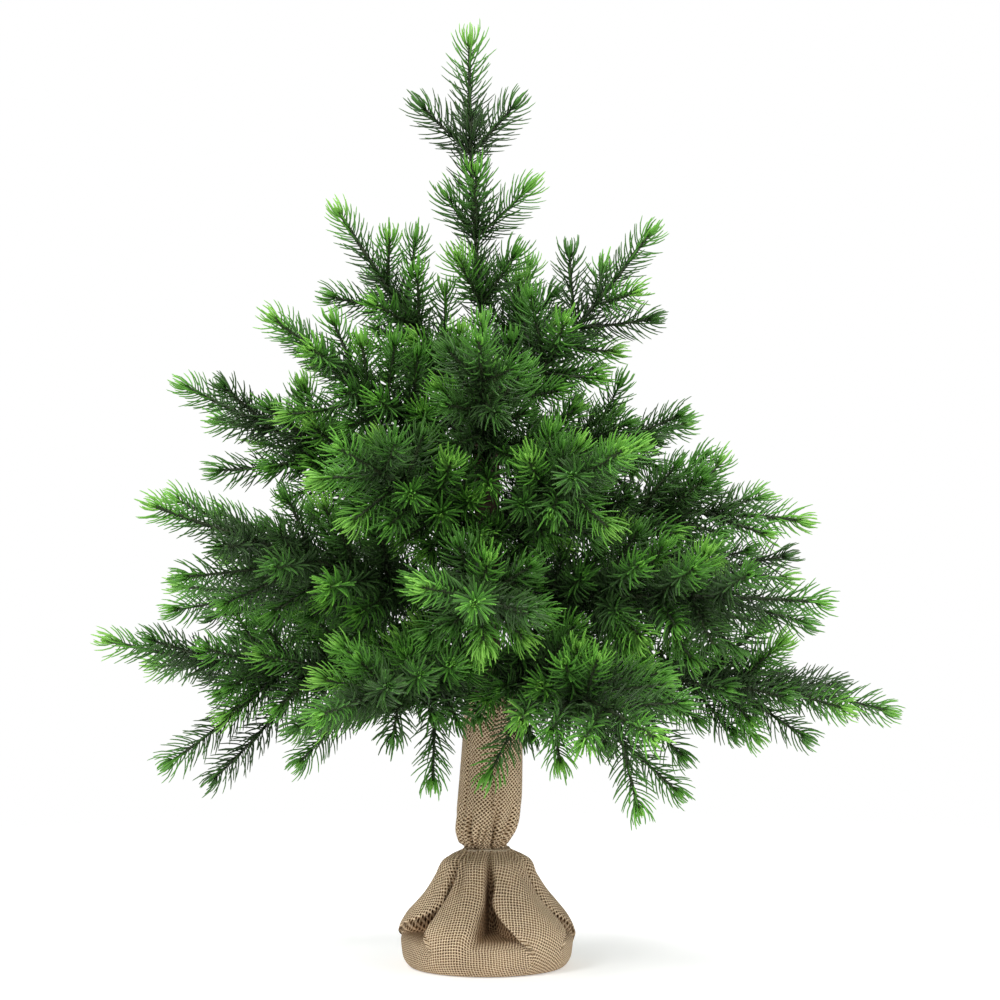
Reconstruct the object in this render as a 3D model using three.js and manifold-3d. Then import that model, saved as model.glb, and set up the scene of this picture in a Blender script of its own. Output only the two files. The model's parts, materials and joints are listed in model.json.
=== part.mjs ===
// Artificial tabletop spruce, 24 inches tall, on a round weighted base wrapped in burlap.
// Millimetres, +Z up, front towards -Y, origin at the centre of the flat underside.
import * as THREE from 'three';
import { mergeVertices } from 'three/addons/utils/BufferGeometryUtils.js';
import Module from 'manifold-3d';

const wasm = await Module();
wasm.setup();

// Driving dimensions ------------------------------------------------------------------------
const GAP = 0.3; // between pieces that touch

const BASE_RADIUS = 58; // widest part of the wrapped base
const PAD_RADIUS = 47;
const PAD_THICKNESS = 1.5;
const CLOTH = 2.2; // burlap with its folds
const CUP_RADIUS = 53;
const CUP_WALL = 1.5;
const CUP_FLOOR = 4.5; // height of the cup's underside, on the cloth tucked beneath it
const CUP_RIM = 20; // height of the cup's rim
const CUP_DRAFT = 0.5; // how much the cup narrows from its rim to its foot
const CUP_CORNER = 5; // width and height of the cup's bevelled foot
const CUP_INNER_CORNER = 4; // the same inside
const DOME = [[45, 21.5], [16, 25.5]]; // points down the weight's low dome: radius and height
const BOSS_RADIUS = 11; // at its top
const WEIGHT_TOP = 50; // top of the boss that grips the rod
const NECK_HEIGHT = 75; // where the cloth is tied
const NECK_RADIUS = 13.5;
const NECK_SEAT = 1.5; // half the height of the straight neck under the tie
const SLEEVE_RADIUS = 20;
const SLEEVE_FULL = [96, 120]; // heights between which the sleeve has its full radius
const SLEEVE_TOP = 176;
const SLEEVE_TOP_RADIUS = 18;
const TIE_THICKNESS = 2.4;
const TIE_SLACK = 0.1; // added to the gap under the tie

// The wrap's outline between its foot and its neck, radius and height.
const WRAP_SIDE = [[56.5, 8], [BASE_RADIUS, 16], [56, 27], [42, 43], [24, 66]];
const HEM_RADIUS = 44; // edge of the cloth tucked under the cup
const HEM_TURN = [52, 0.4]; // where it turns up: radius, and height above the hem

const ROD_RADIUS = 4;
const ROD_BOTTOM = 10;
const ROD_TOP = 388;
const TRUNK_RADIUS = 8.5; // rod, wire tails and tape together
const TRUNK_TOP = 391;
const TRUNK_CHAMFER = [2, 3]; // width and height of the bevel round its top

const WIRE_RADIUS = 1.8;
const ROOT_CLEARANCE = 0.5; // between a wire's root end and the trunk
const WIRE_REACH = 0.62; // share of a stem that holds the wire
const BORE_END = 0.005; // how much further the sprigs' bore runs than the wire
const SPRIG_RADIUS = 4.5; // the dense core of a sprig
const SPRIG_TIP_RADIUS = 3.15; // the core's radius close to its tip
const SPRIG_START = 0.17; // share of a stem that is bare
const TWIG_LENGTHS = [0.37, 0.3]; // first and last side twigs, as shares of the branch
const CREST_LENGTH = 0.24;
const FIRST_FORK = 0.32;
const LAST_FORK = 0.66;
const SINGLE_FORK = 0.46;
const CREST_FORK = 0.5;
const SPLAY = 44; // degrees between a side twig and its stem
const LOW_TIER = 200; // branches rooted below this carry their crest twig underneath

const ROUND = 24; // sides of the base's round pieces
const ROD_SIDES = 16;
const SLIM = 6; // sides of a wire or a sprig
const WIRE_STEPS = 4;

// One row for each branch, the lowest tier first. Height is the root's height on the trunk;
// azimuth turns from +X towards +Y; rise is the stem's slope at its root and bend the angle
// it turns through by its tip; roll tilts the fan of side twigs; pairs counts those twigs.
const BRANCHES = [
  { height: 189, azimuth: 357, rise: 4, bend: -20, length: 258, roll: 5, pairs: 3 },
  { height: 185, azimuth: 60, rise: 3, bend: -14, length: 212, roll: 22, pairs: 3 },
  { height: 188, azimuth: 121, rise: 3, bend: -12, length: 208, roll: 18, pairs: 3 },
  { height: 191, azimuth: 183, rise: -5, bend: 20, length: 243, roll: 14, pairs: 3 },
  { height: 184, azimuth: 242, rise: 3, bend: -12, length: 205, roll: 22, pairs: 3 },
  { height: 187, azimuth: 299, rise: 1, bend: -18, length: 205, roll: 18, pairs: 3 },
  { height: 237, azimuth: 28, rise: 11, bend: -18, length: 232, roll: -18, pairs: 3 },
  { height: 233, azimuth: 91, rise: 10, bend: -8, length: 200, roll: -22, pairs: 3 },
  { height: 237, azimuth: 150, rise: -2, bend: 6, length: 246, roll: -16, pairs: 3 },
  { height: 233, azimuth: 211, rise: 13, bend: 6, length: 240, roll: -20, pairs: 3 },
  { height: 236, azimuth: 268, rise: 5, bend: -8, length: 190, roll: -14, pairs: 3 },
  { height: 234, azimuth: 329, rise: 5, bend: -8, length: 234, roll: -22, pairs: 3 },
  { height: 282, azimuth: 358, rise: 10, bend: -18, length: 202, roll: 20, pairs: 3 },
  { height: 284, azimuth: 60, rise: 20, bend: 4, length: 178, roll: 24, pairs: 2 },
  { height: 286, azimuth: 124, rise: 17, bend: 4, length: 182, roll: 18, pairs: 2 },
  { height: 288, azimuth: 181, rise: 23, bend: 4, length: 212, roll: 16, pairs: 3 },
  { height: 284, azimuth: 238, rise: 15, bend: 4, length: 172, roll: 24, pairs: 2 },
  { height: 286, azimuth: 300, rise: 14, bend: 4, length: 168, roll: 20, pairs: 2 },
  { height: 324, azimuth: 28, rise: 9, bend: 4, length: 152, roll: -22, pairs: 2 },
  { height: 328, azimuth: 104, rise: 36, bend: 8, length: 146, roll: -16, pairs: 2 },
  { height: 326, azimuth: 209, rise: 28, bend: 8, length: 174, roll: -18, pairs: 2 },
  { height: 322, azimuth: 268, rise: 31, bend: 8, length: 140, roll: -20, pairs: 2 },
  { height: 356, azimuth: 355, rise: 48, bend: 6, length: 159, roll: 88, pairs: 1 },
  { height: 362, azimuth: 66, rise: 55, bend: 6, length: 122, roll: 20, pairs: 1 },
  { height: 366, azimuth: 180, rise: 51, bend: 8, length: 156, roll: 96, pairs: 1 },
];

// The leader carries its side twigs in whorls: share of the stem, then for each twig its clock
// angle round the stem in degrees, 0 to the front and 90 to the right, its length, and its
// splay where that isn't the usual one.
const LEADER = { azimuth: 180, rise: 83, bend: 8, length: 212, bare: 0.07 };
const WHORLS = [
  { fraction: 0.16, twigs: [[62, 50], [182, 50], [335, 50]] },
  { fraction: 0.36, twigs: [[92, 56, 50], [268, 42, 30], [5, 64]] },
  { fraction: 0.62, twigs: [[88, 51], [272, 53], [178, 50]] },
];

// Solids and booleans -----------------------------------------------------------------------
const radians = THREE.MathUtils.degToRad;

/** A closed three.js geometry as a manifold solid, with its shared vertices merged. */
function toSolid(geometry) {
  const bare = geometry.index ? geometry.clone() : geometry;
  bare.deleteAttribute('normal');
  bare.deleteAttribute('uv');
  const merged = mergeVertices(bare, 1e-3);
  const corners = merged.index.array;
  const triangles = [];
  for (let i = 0; i < corners.length; i += 3) {
    const [a, b, c] = corners.slice(i, i + 3);
    if (a !== b && b !== c && c !== a) triangles.push(a, b, c);
  }
  return new wasm.Manifold(new wasm.Mesh({
    numProp: 3,
    vertProperties: new Float32Array(merged.attributes.position.array),
    triVerts: new Uint32Array(triangles),
  }));
}

/** A manifold solid as a flat-shaded three.js geometry. */
function toGeometry(solid) {
  const mesh = solid.getMesh();
  const geometry = new THREE.BufferGeometry();
  geometry.setAttribute('position', new THREE.BufferAttribute(mesh.vertProperties, 3));
  geometry.setIndex(new THREE.BufferAttribute(mesh.triVerts, 1));
  const flat = geometry.toNonIndexed();
  flat.computeVertexNormals();
  return flat;
}

/** A profile of [radius, height] points turned about +Z. */
function turned(profile, sides = ROUND) {
  const points = profile.map(([radius, height]) => new THREE.Vector2(radius, height));
  return new THREE.LatheGeometry(points, sides).rotateX(Math.PI / 2);
}

// Stems -------------------------------------------------------------------------------------

/** Unit vector at an azimuth and a slope, both in radians. */
function heading(azimuth, slope) {
  return new THREE.Vector3(
    Math.cos(azimuth) * Math.cos(slope), Math.sin(azimuth) * Math.cos(slope), Math.sin(slope));
}

/** Where a branch's wire leaves the trunk, which is also where it bends. */
function rootOf(branch) {
  const reach = TRUNK_RADIUS + ROOT_CLEARANCE + WIRE_RADIUS;
  return heading(radians(branch.azimuth), 0).multiplyScalar(reach).setZ(branch.height);
}

/** The stem as an arc: its point at a share of its length, and the directions there. */
function stemAt(root, stem, fraction) {
  const azimuth = radians(stem.azimuth);
  const half = radians(stem.bend) * fraction / 2;
  const chord = stem.length * fraction * (half ? Math.sin(half) / half : 1);
  const slope = radians(stem.rise);
  const along = heading(azimuth, slope + 2 * half);
  const across = new THREE.Vector3(-Math.sin(azimuth), Math.cos(azimuth), 0);
  return {
    point: root.clone().addScaledVector(heading(azimuth, slope + half), chord),
    along,
    across,
    up: along.clone().cross(across),
  };
}

/** A side twig that leaves a stem at a clock angle round it. */
function twigAt(root, stem, fraction, clock, length, splay = SPLAY) {
  const { point, along, across, up } = stemAt(root, stem, fraction);
  const side = across.multiplyScalar(Math.cos(clock)).addScaledVector(up, Math.sin(clock));
  const direction = along.multiplyScalar(Math.cos(radians(splay)))
    .addScaledVector(side, Math.sin(radians(splay)));
  return { point, direction, length };
}

/** The twigs of a branch: side pairs that get shorter towards the tip, and a crest twig. */
function twigsOf(root, branch) {
  const twigs = [];
  for (let pair = 0; pair < branch.pairs; pair += 1) {
    const step = branch.pairs > 1 ? pair / (branch.pairs - 1) : 0;
    const fork = branch.pairs > 1 ? FIRST_FORK + (LAST_FORK - FIRST_FORK) * step : SINGLE_FORK;
    const length = branch.length * THREE.MathUtils.lerp(...TWIG_LENGTHS, step);
    for (const turn of [0, 180]) {
      twigs.push(twigAt(root, branch, fork, radians(branch.roll + turn), length));
    }
  }
  if (branch.pairs > 1) {
    const clock = radians(branch.roll + (branch.height < LOW_TIER ? 270 : 90));
    twigs.push(twigAt(root, branch, CREST_FORK, clock, branch.length * CREST_LENGTH));
  }
  return twigs;
}

/** The core of a sprig or a stem: a slim spindle whose axis follows place(share). */
function spindle(place, shares) {
  const profile = shares.map(([radius, share]) => new THREE.Vector2(radius, share));
  const geometry = new THREE.LatheGeometry(profile, SLIM);
  const position = geometry.attributes.position;
  for (let i = 0; i < position.count; i += 1) {
    const { point, along, across } = place(position.getY(i));
    const third = across.clone().cross(along);
    point.addScaledVector(across, position.getX(i)).addScaledVector(third, position.getZ(i));
    position.setXYZ(i, point.x, point.y, point.z);
  }
  return toSolid(geometry);
}

function twigSpindle({ point, direction, length }) {
  const across = new THREE.Vector3(-direction.y, direction.x, 0).normalize();
  const place = (share) => ({
    point: point.clone().addScaledVector(direction, length * share),
    along: direction,
    across,
  });
  return spindle(place, [[0, 0], [SPRIG_RADIUS, 0.2], [SPRIG_TIP_RADIUS, 0.93], [0, 1]]);
}

/** A round tube along a stem from its root to a share of its length. */
function stemTube(root, stem, radius, reach) {
  const points = [];
  for (let i = 0; i <= WIRE_STEPS; i += 1) {
    points.push(stemAt(root, stem, reach * (i / WIRE_STEPS)).point);
  }
  const section = new THREE.Shape();
  for (let i = 0; i < SLIM; i += 1) {
    const angle = (i / SLIM) * 2 * Math.PI;
    section.lineTo(radius * Math.cos(angle), radius * Math.sin(angle));
  }
  section.curves.shift(); // the line from the section's centre to its first corner
  return new THREE.ExtrudeGeometry(section, {
    steps: WIRE_STEPS,
    extrudePath: new THREE.CatmullRomCurve3(points),
  });
}

/** A branch's foliage: the stem's spindle and its twigs' in one piece, bored for the wire. */
function foliage(root, stem, twigs) {
  const bare = stem.bare ?? SPRIG_START;
  const place = (share) => stemAt(root, stem, bare + (1 - bare) * share);
  let solid = spindle(place, [
    [0, 0], [SPRIG_RADIUS, 0.05], [SPRIG_RADIUS, 0.45], [SPRIG_TIP_RADIUS, 0.95], [0, 1],
  ]);
  for (const twig of twigs) solid = solid.add(twigSpindle(twig));
  const bore = stemTube(root, stem, WIRE_RADIUS + GAP, WIRE_REACH + BORE_END);
  return toGeometry(solid.subtract(toSolid(bore)));
}

function wire(root, stem) {
  return toGeometry(toSolid(stemTube(root, stem, WIRE_RADIUS, WIRE_REACH)));
}

// Base and trunk ----------------------------------------------------------------------------

function footPad() {
  return turned([[0, 0], [PAD_RADIUS, 0], [PAD_RADIUS, PAD_THICKNESS], [0, PAD_THICKNESS]]);
}

/** The cup that the weight is cast in: straight walls with a bevelled foot. */
function weightCup() {
  const floor = CUP_FLOOR;
  const foot = CUP_RADIUS - CUP_DRAFT;
  const inside = CUP_RADIUS - CUP_WALL;
  return turned([
    [0, floor], [foot - CUP_CORNER, floor], [foot, floor + CUP_CORNER], [CUP_RADIUS, CUP_RIM],
    [inside, CUP_RIM], [inside - CUP_DRAFT, floor + CUP_WALL + CUP_INNER_CORNER],
    [inside - CUP_DRAFT - CUP_INNER_CORNER, floor + CUP_WALL], [0, floor + CUP_WALL],
  ]);
}

/** The cast weight: a low dome and a boss, with the rod's hole down its middle. */
function castWeight() {
  const floor = CUP_FLOOR + CUP_WALL + GAP;
  const inside = CUP_RADIUS - CUP_WALL - GAP;
  const hole = ROD_RADIUS + GAP;
  const holeBottom = ROD_BOTTOM - GAP;
  return turned([
    [0, floor], [inside - CUP_DRAFT - CUP_CORNER, floor], [inside - CUP_DRAFT, floor + CUP_CORNER],
    [inside, CUP_RIM], ...DOME, [BOSS_RADIUS, WEIGHT_TOP],
    [hole, WEIGHT_TOP], [hole, holeBottom], [0, holeBottom],
  ]);
}

/** The wrapped cloth: under the cup, over its side, in to the neck and up round the trunk. */
function burlapWrap() {
  const hem = PAD_THICKNESS + GAP;
  const [turnRadius, turnRise] = HEM_TURN;
  const outer = [
    [HEM_RADIUS, hem], [turnRadius, hem + turnRise], ...WRAP_SIDE,
    [NECK_RADIUS, NECK_HEIGHT - NECK_SEAT], [NECK_RADIUS, NECK_HEIGHT + NECK_SEAT],
    ...SLEEVE_FULL.map((height) => [SLEEVE_RADIUS, height]), [SLEEVE_TOP_RADIUS, SLEEVE_TOP],
  ];
  const inner = outer.map(([radius, height]) => [radius - CLOTH, height]);
  inner[0] = [HEM_RADIUS, hem + CLOTH];
  inner[1] = [turnRadius - 1, hem + turnRise + CLOTH];
  return turned([...outer, ...inner.reverse(), outer[0]]);
}

/** The line tied round the neck. */
function neckTie() {
  const radius = TIE_THICKNESS / 2;
  const middle = NECK_RADIUS + TIE_SLACK + GAP + radius;
  const profile = [];
  for (let i = 0; i <= SLIM; i += 1) {
    const angle = (i / SLIM) * 2 * Math.PI;
    profile.push([middle + radius * Math.cos(angle), NECK_HEIGHT + radius * Math.sin(angle)]);
  }
  return turned(profile);
}

function trunkRod() {
  return turned(
    [[0, ROD_BOTTOM], [ROD_RADIUS, ROD_BOTTOM], [ROD_RADIUS, ROD_TOP], [0, ROD_TOP]], ROD_SIDES);
}

/** The wire tails and tape round the rod, as one sleeve with a closed top. */
function trunkWrap() {
  const bore = ROD_RADIUS + GAP;
  const foot = WEIGHT_TOP + GAP;
  const [width, height] = TRUNK_CHAMFER;
  return turned([
    [bore, foot], [TRUNK_RADIUS, foot], [TRUNK_RADIUS, TRUNK_TOP - height],
    [TRUNK_RADIUS - width, TRUNK_TOP], [0, TRUNK_TOP], [0, ROD_TOP + GAP],
    [bore, ROD_TOP + GAP], [bore, foot],
  ]);
}

// Materials ---------------------------------------------------------------------------------
const finish = (color, roughness, metalness = 0) => (
  new THREE.MeshStandardMaterial({ color, roughness, metalness, flatShading: true }));

const FELT = finish(0x3c3a36, 0.95);
const CUP_PLASTIC = finish(0x2b2b2b, 0.5);
const CEMENT = finish(0x9b978f, 0.9);
const BURLAP = finish(0xb29571, 0.9);
const TWINE = finish(0xcdbb98, 0.8);
const STEEL = finish(0x7d8084, 0.4, 0.9);
const TRUNK_TAPE = finish(0x5a4630, 0.6);
const STEM_TAPE = finish(0x3d4a24, 0.6);
const NEEDLES = finish(0x2f7a2b, 0.5);

// Assembly ----------------------------------------------------------------------------------
const tree = new THREE.Group();

function addPiece(name, geometry, material) {
  const mesh = new THREE.Mesh(geometry, material);
  mesh.name = name;
  tree.add(mesh);
}

function addTurned(name, geometry, material) {
  addPiece(name, toGeometry(toSolid(geometry)), material);
}

addTurned('foot_pad', footPad(), FELT);
addTurned('weight_cup', weightCup(), CUP_PLASTIC);
addTurned('cast_weight', castWeight(), CEMENT);
addTurned('burlap_wrap', burlapWrap(), BURLAP);
addTurned('neck_tie', neckTie(), TWINE);
addTurned('trunk_rod', trunkRod(), STEEL);
addTurned('trunk_wrap', trunkWrap(), TRUNK_TAPE);

BRANCHES.forEach((branch, index) => {
  const name = `branch_${String(index + 1).padStart(2, '0')}`;
  const root = rootOf(branch);
  addPiece(`${name}_wire`, wire(root, branch), STEM_TAPE);
  addPiece(`${name}_sprigs`, foliage(root, branch, twigsOf(root, branch)), NEEDLES);
});

const leaderRoot = new THREE.Vector3(0, 0, TRUNK_TOP + ROOT_CLEARANCE + WIRE_RADIUS);
const leaderTwigs = WHORLS.flatMap(({ fraction, twigs }) => twigs.map(([clock, length, splay]) => (
  twigAt(leaderRoot, LEADER, fraction, radians(clock), length, splay))));
addPiece('leader_wire', wire(leaderRoot, LEADER), STEM_TAPE);
addPiece('leader_sprigs', foliage(leaderRoot, LEADER, leaderTwigs), NEEDLES);

export default tree;
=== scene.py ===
"""Artificial tabletop spruce on a burlap-wrapped base. Metres, +Z up, front towards -Y."""
import json
import math

import bpy
import numpy as np
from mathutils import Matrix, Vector


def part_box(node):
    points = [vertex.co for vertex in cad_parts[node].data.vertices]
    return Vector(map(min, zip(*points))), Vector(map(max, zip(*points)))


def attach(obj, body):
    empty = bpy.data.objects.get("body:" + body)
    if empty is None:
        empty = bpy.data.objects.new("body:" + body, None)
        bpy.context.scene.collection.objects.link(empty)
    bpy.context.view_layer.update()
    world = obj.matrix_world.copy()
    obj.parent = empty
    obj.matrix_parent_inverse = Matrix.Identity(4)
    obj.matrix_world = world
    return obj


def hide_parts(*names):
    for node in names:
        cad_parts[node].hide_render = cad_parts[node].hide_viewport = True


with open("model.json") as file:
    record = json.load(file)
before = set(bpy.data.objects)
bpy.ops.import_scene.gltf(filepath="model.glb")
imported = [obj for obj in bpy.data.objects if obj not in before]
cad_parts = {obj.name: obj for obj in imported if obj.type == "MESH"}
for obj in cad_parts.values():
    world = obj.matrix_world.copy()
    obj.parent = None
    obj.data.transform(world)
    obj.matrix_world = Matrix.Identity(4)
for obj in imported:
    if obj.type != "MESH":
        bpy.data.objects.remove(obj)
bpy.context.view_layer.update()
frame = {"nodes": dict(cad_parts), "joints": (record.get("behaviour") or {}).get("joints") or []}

MM = 0.001
GOLDEN_ANGLE = math.radians(137.508)

# The branches' layout, as in the CAD: rise and bend in degrees, length in millimetres, roll of
# the fan of side twigs in degrees, and the number of pairs of side twigs.
BRANCHES = [
    (4, -20, 258, 5, 3), (3, -14, 212, 22, 3), (3, -12, 208, 18, 3),
    (-5, 20, 243, 14, 3), (3, -12, 205, 22, 3), (1, -18, 205, 18, 3),
    (11, -18, 232, -18, 3), (10, -8, 200, -22, 3), (-2, 6, 246, -16, 3),
    (13, 6, 240, -20, 3), (5, -8, 190, -14, 3), (5, -8, 234, -22, 3),
    (10, -18, 202, 20, 3), (20, 4, 178, 24, 2), (17, 4, 182, 18, 2),
    (23, 4, 212, 16, 3), (15, 4, 172, 24, 2), (14, 4, 168, 20, 2),
    (9, 4, 152, -22, 2), (36, 8, 146, -16, 2), (28, 8, 174, -18, 2),
    (31, 8, 140, -20, 2), (48, 6, 159, 88, 1), (55, 6, 122, 20, 1),
    (51, 8, 156, 96, 1),
]
LEADER = (83, 8, 212)  # its rise, bend and length
LEADER_AZIMUTH = math.pi
# The leader's whorls: share of the stem, then each twig's clock angle, length and splay.
WHORLS = [
    (0.16, ((62, 50, 44), (182, 50, 44), (335, 50, 44))),
    (0.36, ((92, 56, 50), (268, 42, 30), (5, 64, 44))),
    (0.62, ((88, 51, 44), (272, 53, 44), (178, 50, 44))),
]
# Single twigs that fill out the tree's outline: branch, fork, clock angle, length and splay.
EXTRA_TWIGS = [
    (4, 0.50, 270, 104, 44), (4, 0.43, 262, 104, 52), (5, 0.36, 205, 80, 44),
    (5, 0.30, 281, 72, 70), (6, 0.30, 232, 80, 80), (6, 0.74, 268, 70, 50),
    (6, 0.50, 312, 95, 52), (6, 0.40, 20, 78, 44), (1, 0.45, 275, 60, 44),
    (1, 0.28, 262, 80, 50), (13, 0.45, 60, 70, 44), (16, 0.30, 90, 62, 50),
    (16, 0.45, 262, 88, 30), (10, 0.50, 268, 98, 22), (10, 0.50, 250, 72, 44),
    (21, 0.45, 250, 70, 44), (7, 0.62, 300, 66, 44), (9, 0.60, 100, 66, 44),
    (22, 0.60, 90, 52, 44), (18, 0.35, 100, 60, 44), (19, 0.45, 90, 58, 50),
    (11, 0.10, 80, 70, 50), (22, 0.12, 275, 70, 54), (17, 0.12, 330, 66, 54),
    (18, 0.14, 215, 66, 54), (1, 0.55, 270, 75, 28), (16, 0.50, 90, 55, 50),
    (4, 0.26, 270, 84, 50), (6, 0.16, 262, 52, 55), (6, 0.36, 262, 60, 60),
]
# Where a branch's side pairs and its crest twig fork, as shares of the stem, and their lengths:
# the first side twig, how much shorter the last one is, and the crest twig.
FIRST_FORK, LAST_FORK, SINGLE_FORK, CREST_FORK = 0.32, 0.66, 0.46, 0.5
SIDE_TWIG, SIDE_TAPER, CREST_TWIG = 0.37, 0.07, 0.24
SPLAY = math.radians(44)
TWIG_CURVE, LEADER_TWIG_CURVE = 0.16, 0.1  # how far twigs curve towards the stem's tip
LOW_TIER = 0.2  # branches that start below this height carry their crest twig underneath
BRANCH_BARE, LEADER_BARE = 0.12, 0.05  # the share of a stem before its first needle
STEM_STEPS, TWIG_STEPS = 40, 16

NEEDLE_LENGTH = 17.0 * MM
LEADER_GROWN = 1.18  # how much longer the leader's needles are
NEEDLE_HALF_WIDTH = 0.70 * MM
NEEDLE_DEPTH = 0.7  # a needle's thickness, as a share of its width
NEEDLES_PER_MM = 1.45
NEEDLE_SIZES = (0.88, 1.08)
FIRST_SIZE, GROWTH = 0.72, 14 * MM  # a sprig's first needles are shorter, and soon full-sized
NEEDLE_LEAN = (63, 36)  # degrees from the stem, at a needle's base and at its tip
PLACE_JITTER, TURN_JITTER = 0.4, 0.35  # in needle spacings, and in radians
LEAN_JITTER, SKEW_JITTER = 5, 7  # in degrees
TIP_ZONE = 13 * MM  # where the needles begin to close round the bud
# The lean that the last needles close to, how much further a ring of needles that clasps the bud
# closes, and how far that ring stands behind the sprig's end.
CLASP, CLASP_MORE, CLASP_BACK = (52, -18), 4.0, 2.5 * MM
CLASP_NEEDLES, CLASP_SIZES = 7, (0.70, 0.86)
# The bud's own short needles, from the outermost to the innermost.
BUD_NEEDLES, BUD_SIZES, BUD_BACK = 9, (0.42, 0.30), 0.4 * MM
BUD_LEANS = ((30, 8), (-14, -6))
BUD_WIDTH = 0.8
# A needle's age runs from 0, old and dark, to 1, fresh and pale: what each sprig starts from,
# what a fresh sprig adds throughout, and what it adds near its end.
OLD, FRESH, FRESH_END = 0.10, 0.18, 0.78
FRESH_ZONE, FRESH_FADE = 50 * MM, 1.3
BUD_AGE, AGE_JITTER = 0.1, 0.06
AGE_LIMITS, BUD_AGE_LIMIT = (0.02, 0.97), 0.98
STEM_FRESH, TWIG_FRESH = (0.7, 1.0), (0.28, 1.0)
END_GAP = 1.5 * MM  # between the last needle of a sprig's sides and its end
OVERHANG = 10  # how far the last needles reach past a stem's end, in millimetres
STEM_RADIUS = 1.5 * MM
TWIG_RADIUS = 1.1 * MM
THIN_END = 0.7  # a twig's radius at its tip, as a share
KNOBS = (0.88, 1.12)  # how far a stem's radius varies along it, as shares
TAIL = 6  # how far a stem runs on into the trunk's tape, in millimetres

FILLER_SPACING = 13  # one filler sprig for each this many millimetres of branch
FILLER_TRIES = 26
FILLER_FORKS, FILLER_LENGTHS, FILLER_SPLAYS = (0.06, 0.60), (48, 72), (40, 58)
# No filler sprig ends below the first height, or below the second across the sleeve's front.
FILLER_FLOOR, SLEEVE_TOP, SLEEVE_VIEW = 0.115, 0.162, (-0.095, 0.07)


# Meshes ------------------------------------------------------------------------------------

def new_mesh(name, points, faces):
    """A smooth mesh object from an array of points and one array, or a list, of faces."""
    mesh = bpy.data.meshes.new(name)
    points = np.asarray(points, np.float32).reshape(-1, 3)
    if isinstance(faces, np.ndarray):
        count, sides = faces.shape
        mesh.vertices.add(len(points))
        mesh.vertices.foreach_set("co", points.ravel())
        mesh.loops.add(faces.size)
        mesh.loops.foreach_set("vertex_index", faces.ravel().astype(np.int32))
        mesh.polygons.add(count)
        mesh.polygons.foreach_set("loop_start", np.arange(0, faces.size, sides, dtype=np.int32))
        mesh.update(calc_edges=True)
    else:
        mesh.from_pydata(points.tolist(), [], faces)
    mesh.polygons.foreach_set("use_smooth", [True] * len(mesh.polygons))
    made = bpy.data.objects.new(name, mesh)
    bpy.context.scene.collection.objects.link(made)
    return made


def set_uv(piece, name, uv):
    """Gives a mesh a UV layer from one (u, v) for each vertex."""
    layer = piece.data.uv_layers.new(name=name)
    index = np.zeros(len(piece.data.loops), np.int32)
    piece.data.loops.foreach_get("vertex_index", index)
    layer.data.foreach_set("uv", np.asarray(uv, np.float32)[index].ravel())


def unit(v):
    return v / np.linalg.norm(v, axis=-1, keepdims=True)


def square_to(tangents):
    """Two directions at right angles to each tangent of a path and to each other."""
    steep = abs(tangents[0][2]) > 0.8
    first = unit(np.cross(tangents, (0.0, 1.0, 0.0) if steep else (0.0, 0.0, 1.0)))
    return first, np.cross(tangents, first)


def ring_faces(rings, sides):
    """Four-sided faces between rings of points that follow one another."""
    faces = []
    for ring in range(rings - 1):
        for k in range(sides):
            a, b = ring * sides + k, ring * sides + (k + 1) % sides
            faces.append((a, b, b + sides, a + sides))
    return faces


def end_faces(rings, sides):
    """The faces that close the first and the last ring."""
    last = (rings - 1) * sides
    return [tuple(reversed(range(sides))), tuple(range(last, last + sides))]


# Materials ---------------------------------------------------------------------------------

class Nodes:
    """A short way to build a material's node tree."""

    def __init__(self, name):
        self.material = bpy.data.materials.new(name)
        self.material.use_nodes = True
        self.tree = self.material.node_tree
        self.shader = self.tree.nodes["Principled BSDF"]

    def add(self, kind, **settings):
        node = self.tree.nodes.new(kind)
        for key, value in settings.items():
            setattr(node, key, value)
        return node

    def link(self, source, target):
        self.tree.links.new(source, target)

    def math(self, operation, a, b=0.0, c=0.0):
        node = self.add("ShaderNodeMath", operation=operation)
        for socket, value in zip(node.inputs, (a, b, c)):
            if isinstance(value, bpy.types.NodeSocket):
                self.link(value, socket)
            else:
                socket.default_value = value
        return node.outputs[0]

    def ramp(self, factor, stops):
        node = self.add("ShaderNodeValToRGB")
        elements = node.color_ramp.elements
        while len(elements) < len(stops):
            elements.new(0.5)
        for element, (position, color) in zip(elements, stops):
            element.position = position
            element.color = (*color, 1)
        self.link(factor, node.inputs["Fac"])
        return node.outputs["Color"]

    def noise(self, scale, detail=3, vector=None):
        node = self.add("ShaderNodeTexNoise")
        node.inputs["Scale"].default_value = scale
        node.inputs["Detail"].default_value = detail
        if vector is None:
            vector = self.add("ShaderNodeTexCoord").outputs["Object"]
        self.link(vector, node.inputs["Vector"])
        return node.outputs["Fac"]

    def multiply(self, a, b):
        """One colour times another."""
        node = self.add("ShaderNodeMix", data_type="RGBA", blend_type="MULTIPLY")
        factor, first, second = node.inputs[0], node.inputs[6], node.inputs[7]
        factor.default_value = 1.0
        self.link(a, first)
        self.link(b, second)
        return node.outputs[2]

    def bump(self, height, distance):
        node = self.add("ShaderNodeBump")
        node.inputs["Distance"].default_value = distance
        self.link(height, node.inputs["Height"])
        self.link(node.outputs["Normal"], self.shader.inputs["Normal"])

    def finish(self, color, roughness, **sockets):
        self.link(color, self.shader.inputs["Base Color"])
        self.shader.inputs["Roughness"].default_value = roughness
        for key, value in sockets.items():
            self.shader.inputs[key.replace("_", " ")].default_value = value
        return self.material


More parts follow.
